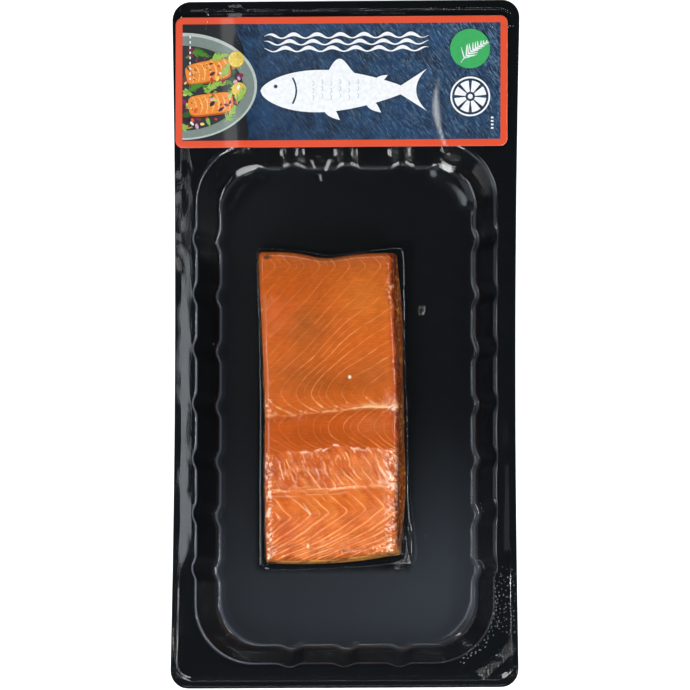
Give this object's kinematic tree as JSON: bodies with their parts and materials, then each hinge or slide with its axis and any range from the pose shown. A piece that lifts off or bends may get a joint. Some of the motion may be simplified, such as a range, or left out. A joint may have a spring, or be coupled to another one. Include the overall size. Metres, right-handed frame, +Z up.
{
  "type": "hot smoked salmon fillet in a vacuum skin pack",
  "caption": "Hot smoked salmon portion on a black ribbed plastic tray, sealed under clear skin film, with a plain unlettered printed label on the tray's broad flange.",
  "frame": {"origin": "middle of the pack's outline, on the plane that the tray stands on", "axes": "+Z up out of the tray, +Y along the pack towards its label, +X to the right as the label is read"},
  "size_m": [0.1394, 0.2764, 0.0214],
  "materials": {
    "tray": "black pressed sheet with a satin gloss",
    "salmon_fillet": "orange hot smoked flesh, moist under its film",
    "skin_film": "clear and glossy",
    "label": "coated, printed, unlettered"
  },
  "bodies": {
    "root": {"tray": "tray", "salmon_fillet": "salmon_fillet", "skin_film": "skin_film", "label": "label"}
  },
  "joints": []
}
